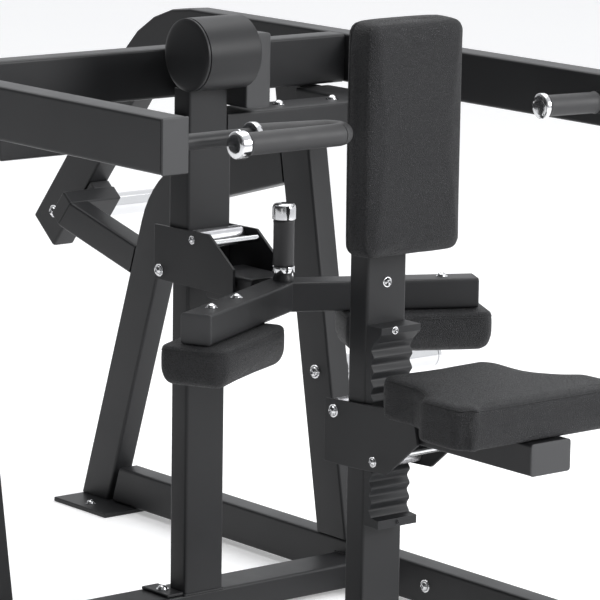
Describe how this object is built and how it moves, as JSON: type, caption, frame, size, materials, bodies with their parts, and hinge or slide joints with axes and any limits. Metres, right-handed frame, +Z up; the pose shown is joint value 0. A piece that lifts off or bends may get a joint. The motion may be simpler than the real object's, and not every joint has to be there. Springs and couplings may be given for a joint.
{
  "type": "seated lever gym machine",
  "caption": "Seated plate-loaded lever machine: fixed steel frame, swinging lever frame with grips and weight horns, sliding seat and thigh pads.",
  "frame": {"origin": "middle of the machine's bounding box in plan, on the floor", "axes": "+Z up, +Y from the seat towards the weights, X across the machine"},
  "size_m": [1.7806, 2.1966, 1.2],
  "materials": {
    "frame_paint": "satin black powder coat",
    "rack_paint": "satin black powder coat",
    "chrome": "polished",
    "bright_steel": "turned",
    "grip_rubber": "matte black",
    "end_caps": "fine matte",
    "upholstery": "grained charcoal leatherette"
  },
  "bodies": {
    "frame": {"base_beam_left": "frame_paint", "base_beam_right": "frame_paint", "base_crossbar": "frame_paint", "front_crossbar": "frame_paint", "rear_foot_plate_left": "frame_paint", "rear_foot_plate_right": "frame_paint", "front_foot_plate_left": "frame_paint", "front_foot_plate_right": "frame_paint", "side_loop_left": "frame_paint", "side_loop_right": "frame_paint", "front_leg_left": "frame_paint", "front_leg_right": "frame_paint", "upper_beam_left": "frame_paint", "upper_beam_right": "frame_paint", "centre_post": "frame_paint", "guide_sleeve": "frame_paint", "post_flange": "frame_paint", "hub_barrel": "frame_paint", "hub_bearing": "bright_steel", "hub_cap": "frame_paint", "rest_arm_left": "frame_paint", "rest_arm_right": "frame_paint", "rest_seat_left": "frame_paint", "rest_seat_right": "frame_paint", "rest_bumper_left": "grip_rubber", "rest_bumper_right": "grip_rubber", "storage_horn_left": "chrome", "storage_horn_right": "chrome", "seat_post": "frame_paint", "seat_rack": "rack_paint", "chest_pad_plate": "frame_paint", "chest_pad": "upholstery"},
    "lever": {"lever_arm_left": "frame_paint", "lever_arm_right": "frame_paint", "lever_back_tube": "frame_paint", "pivot_shaft": "bright_steel", "lever_bracket": "frame_paint", "weight_horn_left": "chrome", "weight_horn_right": "chrome", "handle_bar_left": "frame_paint", "loop_grip_left": "grip_rubber", "grip_right": "grip_rubber", "lever_end_cap_left": "end_caps", "lever_end_cap_right": "end_caps"},
    "thigh_carriage": {"thigh_plate_left": "frame_paint", "thigh_plate_right": "frame_paint", "thigh_front_roller": "bright_steel", "thigh_rear_roller": "bright_steel", "thigh_crossrod": "chrome", "thigh_arm": "frame_paint", "thigh_chevron": "frame_paint", "thigh_pad_left": "upholstery", "thigh_pad_right": "upholstery", "thigh_handle": "grip_rubber"},
    "seat_carriage": {"seat_plate_left": "frame_paint", "seat_plate_right": "frame_paint", "seat_rear_roller": "bright_steel", "seat_front_pin": "bright_steel", "seat_tube": "frame_paint", "seat_pad": "upholstery"}
  },
  "joints": [
    {"name": "lever_pivot", "type": "hinge", "parent": "frame", "child": "lever", "pos_m": [0, -0.15826, 1.083], "axis": [1, 0, 0], "range_deg": [0, 28]},
    {"name": "thigh_slide", "type": "slide", "parent": "frame", "child": "thigh_carriage", "axis": [0, 0, -1], "range_m": [-0.078, 0]},
    {"name": "seat_slide", "type": "slide", "parent": "frame", "child": "seat_carriage", "axis": [0, 0, 1], "range_m": [-0.08, 0.12]}
  ]
}
